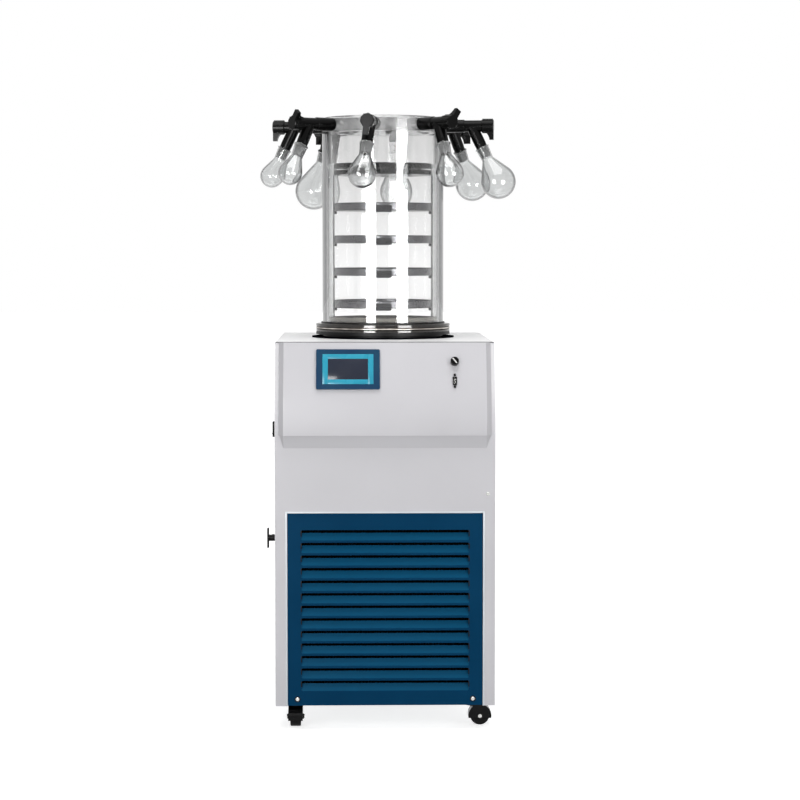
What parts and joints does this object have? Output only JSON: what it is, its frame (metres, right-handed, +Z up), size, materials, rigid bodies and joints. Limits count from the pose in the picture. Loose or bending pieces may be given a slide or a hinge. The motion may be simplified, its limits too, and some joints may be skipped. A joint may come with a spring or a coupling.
{
  "type": "freeze dryer",
  "caption": "Floor-standing laboratory freeze dryer: cabinet on casters with a louvred front, leaning console, clear drum with shelf trays, and a ring manifold with hung flasks.",
  "frame": {"origin": "on the floor, straight below the axis of the drum", "axes": "+Z up, -Y towards the front of the cabinet, +X to its right-hand side as seen from the front"},
  "size_m": [0.5555, 0.6635, 1.2805],
  "materials": {
    "white_enamel": "powder coat, satin",
    "console_enamel": "powder coat, satin",
    "blue_enamel": "powder coat, satin",
    "zinc_plate": "zinc plated",
    "screw_steel": "nickel plated",
    "bezel_plastic": "fine moulded texture",
    "screen_overlay": "smooth film over glass",
    "black_plastic": "moulded, semi-gloss",
    "black_matt_plastic": "moulded, matt",
    "black_rubber": "moulded, matt",
    "wheel_rubber": "moulded",
    "caster_steel": "black painted pressing",
    "nickel_brass": "nickel plated",
    "silicone_hose": "translucent silicone",
    "stainless": "brushed",
    "foam": "moulded foam",
    "trap_plate_finish": "smooth",
    "clear_acrylic": "clear, polished",
    "flask_glass": "clear blown glass",
    "rack_grey": "satin",
    "tray_steel": "brushed",
    "copper": "drawn tube",
    "fin_aluminium": "mill finish",
    "compressor_enamel": "black enamel",
    "box_enamel": "grey enamel",
    "fan_plastic": "moulded"
  },
  "bodies": {
    "dryer_body": {"base_pan": "zinc_plate", "cabinet_shell": "white_enamel", "console_cover": "console_enamel", "top_panel": "white_enamel", "back_panel": "white_enamel", "louver_panel": "blue_enamel", "panel_screws": "screw_steel", "screen_bezel": "bezel_plastic", "screen_glass": "screen_overlay", "data_port": "black_matt_plastic", "switch_bezel": "black_plastic", "drain_valve_body": "nickel_brass", "drain_line": "silicone_hose", "power_inlet": "black_matt_plastic", "vacuum_line": "stainless", "cold_trap_well": "stainless", "trap_insulation": "foam", "trap_plate": "trap_plate_finish", "drum": "clear_acrylic", "drum_seals": "black_rubber", "manifold_head": "clear_acrylic", "manifold_lid": "clear_acrylic", "rack_frame": "rack_grey", "rack_caps": "black_matt_plastic", "trays": "tray_steel", "condenser": "fin_aluminium", "fan_shroud": "zinc_plate", "compressor": "compressor_enamel", "refrigerant_lines": "copper", "control_box": "box_enamel", "caster_plates": "caster_steel", "valve_bodies": "black_rubber"},
    "vent_knob": {"vent_knob": "black_plastic"},
    "power_rocker": {"switch_rocker": "black_plastic"},
    "drain_handle": {"drain_valve_handle": "black_plastic"},
    "fan": {"fan_rotor": "fan_plastic"},
    "caster_swivel_1": {"caster_fork_1": "caster_steel"},
    "caster_roller_1": {"caster_wheel_1": "wheel_rubber"},
    "caster_swivel_2": {"caster_fork_2": "caster_steel"},
    "caster_roller_2": {"caster_wheel_2": "wheel_rubber"},
    "caster_swivel_3": {"caster_fork_3": "caster_steel"},
    "caster_roller_3": {"caster_wheel_3": "wheel_rubber"},
    "caster_swivel_4": {"caster_fork_4": "caster_steel"},
    "caster_roller_4": {"caster_wheel_4": "wheel_rubber"},
    "knob_1": {"valve_knob_1": "black_plastic"},
    "hung_flask_1": {"flask_1": "flask_glass"},
    "knob_2": {"valve_knob_2": "black_plastic"},
    "hung_flask_2": {"flask_2": "flask_glass"},
    "knob_3": {"valve_knob_3": "black_plastic"},
    "hung_flask_3": {"flask_3": "flask_glass"},
    "knob_4": {"valve_knob_4": "black_plastic"},
    "hung_flask_4": {"flask_4": "flask_glass"},
    "knob_5": {"valve_knob_5": "black_plastic"},
    "hung_flask_5": {"flask_5": "flask_glass"},
    "knob_6": {"valve_knob_6": "black_plastic"},
    "hung_flask_6": {"flask_6": "flask_glass"},
    "knob_7": {"valve_knob_7": "black_plastic"},
    "hung_flask_7": {"flask_7": "flask_glass"},
    "knob_8": {"valve_knob_8": "black_plastic"},
    "hung_flask_8": {"flask_8": "flask_glass"}
  },
  "joints": [
    {"name": "vent_knob_turn", "type": "hinge", "parent": "dryer_body", "child": "vent_knob", "pos_m": [0.142, -0.32816, 0.756], "axis": [0, -0.9397, 0.342], "range_deg": [0, 90]},
    {"name": "power_rocker_tilt", "type": "hinge", "parent": "dryer_body", "child": "power_rocker", "pos_m": [-0.2225, -0.308, 0.618], "axis": [0, 1, 0], "range_deg": [-18, 0]},
    {"name": "drain_handle_turn", "type": "hinge", "parent": "dryer_body", "child": "drain_handle", "pos_m": [-0.24, -0.26, 0.387], "axis": [-1, 0, 0], "range_deg": [0, 90]},
    {"name": "fan_spin", "type": "hinge", "parent": "dryer_body", "child": "fan", "pos_m": [0, -0.234, 0.181], "axis": [0, 1, 0], "continuous": true},
    {"name": "caster_swivel_1_turn", "type": "hinge", "parent": "dryer_body", "child": "caster_swivel_1", "pos_m": [-0.185, -0.29, 0.051], "axis": [0, 0, 1], "continuous": true},
    {"name": "caster_roller_1_roll", "type": "hinge", "parent": "caster_swivel_1", "child": "caster_roller_1", "pos_m": [-0.185, -0.302, 0.02], "axis": [1, 0, 0], "continuous": true},
    {"name": "caster_swivel_2_turn", "type": "hinge", "parent": "dryer_body", "child": "caster_swivel_2", "pos_m": [0.185, -0.29, 0.051], "axis": [0, 0, 1], "continuous": true},
    {"name": "caster_roller_2_roll", "type": "hinge", "parent": "caster_swivel_2", "child": "caster_roller_2", "pos_m": [0.197, -0.29, 0.02], "axis": [0, 1, 0], "continuous": true},
    {"name": "caster_swivel_3_turn", "type": "hinge", "parent": "dryer_body", "child": "caster_swivel_3", "pos_m": [-0.185, 0.205, 0.051], "axis": [0, 0, 1], "continuous": true},
    {"name": "caster_roller_3_roll", "type": "hinge", "parent": "caster_swivel_3", "child": "caster_roller_3", "pos_m": [-0.1809, 0.19372, 0.02], "axis": [0.9397, 0.342, 0], "continuous": true},
    {"name": "caster_swivel_4_turn", "type": "hinge", "parent": "dryer_body", "child": "caster_swivel_4", "pos_m": [0.185, 0.205, 0.051], "axis": [0, 0, 1], "continuous": true},
    {"name": "caster_roller_4_roll", "type": "hinge", "parent": "caster_swivel_4", "child": "caster_roller_4", "pos_m": [0.17812, 0.19517, 0.02], "axis": [0.8192, -0.5736, 0], "continuous": true},
    {"name": "knob_1_turn", "type": "hinge", "parent": "dryer_body", "child": "knob_1", "pos_m": [-0.03185, -0.21313, 1.252], "axis": [-0.1478, -0.989, 0], "range_deg": [0, 180]},
    {"name": "knob_2_turn", "type": "hinge", "parent": "dryer_body", "child": "knob_2", "pos_m": [0.12818, -0.17323, 1.252], "axis": [0.5948, -0.8039, 0], "range_deg": [-146, 0]},
    {"name": "knob_3_turn", "type": "hinge", "parent": "dryer_body", "child": "knob_3", "pos_m": [0.21313, -0.03185, 1.252], "axis": [0.989, -0.1478, 0], "range_deg": [0, 180]},
    {"name": "knob_4_turn", "type": "hinge", "parent": "dryer_body", "child": "knob_4", "pos_m": [0.17323, 0.12818, 1.252], "axis": [0.8039, 0.5948, 0], "range_deg": [0, 180]},
    {"name": "knob_5_turn", "type": "hinge", "parent": "dryer_body", "child": "knob_5", "pos_m": [0.03185, 0.21313, 1.252], "axis": [0.1478, 0.989, 0], "range_deg": [0, 180]},
    {"name": "knob_6_turn", "type": "hinge", "parent": "dryer_body", "child": "knob_6", "pos_m": [-0.12818, 0.17323, 1.252], "axis": [-0.5948, 0.8039, 0], "range_deg": [0, 180]},
    {"name": "knob_7_turn", "type": "hinge", "parent": "dryer_body", "child": "knob_7", "pos_m": [-0.21313, 0.03185, 1.252], "axis": [-0.989, 0.1478, 0], "range_deg": [0, 180]},
    {"name": "knob_8_turn", "type": "hinge", "parent": "dryer_body", "child": "knob_8", "pos_m": [-0.17323, -0.12818, 1.252], "axis": [-0.8039, -0.5948, 0], "range_deg": [-142, 0]},
    {"name": "flask_1_pull", "type": "slide", "parent": "dryer_body", "child": "hung_flask_1", "axis": [-0.1423, -0.422, -0.8954], "range_m": [0, 0.045]},
    {"name": "flask_2_pull", "type": "slide", "parent": "dryer_body", "child": "hung_flask_2", "axis": [0.179, -0.4129, -0.893], "range_m": [0, 0.045]},
    {"name": "flask_3_pull", "type": "slide", "parent": "dryer_body", "child": "hung_flask_3", "axis": [0.4336, -0.0648, -0.8988], "range_m": [0, 0.045]},
    {"name": "flask_4_pull", "type": "slide", "parent": "dryer_body", "child": "hung_flask_4", "axis": [0.3524, 0.2608, -0.8988], "range_m": [0, 0.045]},
    {"name": "flask_5_pull", "type": "slide", "parent": "dryer_body", "child": "hung_flask_5", "axis": [0.0648, 0.4336, -0.8988], "range_m": [0, 0.045]},
    {"name": "flask_6_pull", "type": "slide", "parent": "dryer_body", "child": "hung_flask_6", "axis": [-0.2608, 0.3524, -0.8988], "range_m": [0, 0.045]},
    {"name": "flask_7_pull", "type": "slide", "parent": "dryer_body", "child": "hung_flask_7", "axis": [-0.4336, 0.0648, -0.8988], "range_m": [0, 0.045]},
    {"name": "flask_8_pull", "type": "slide", "parent": "dryer_body", "child": "hung_flask_8", "axis": [-0.3524, -0.2608, -0.8988], "range_m": [0, 0.045]}
  ]
}
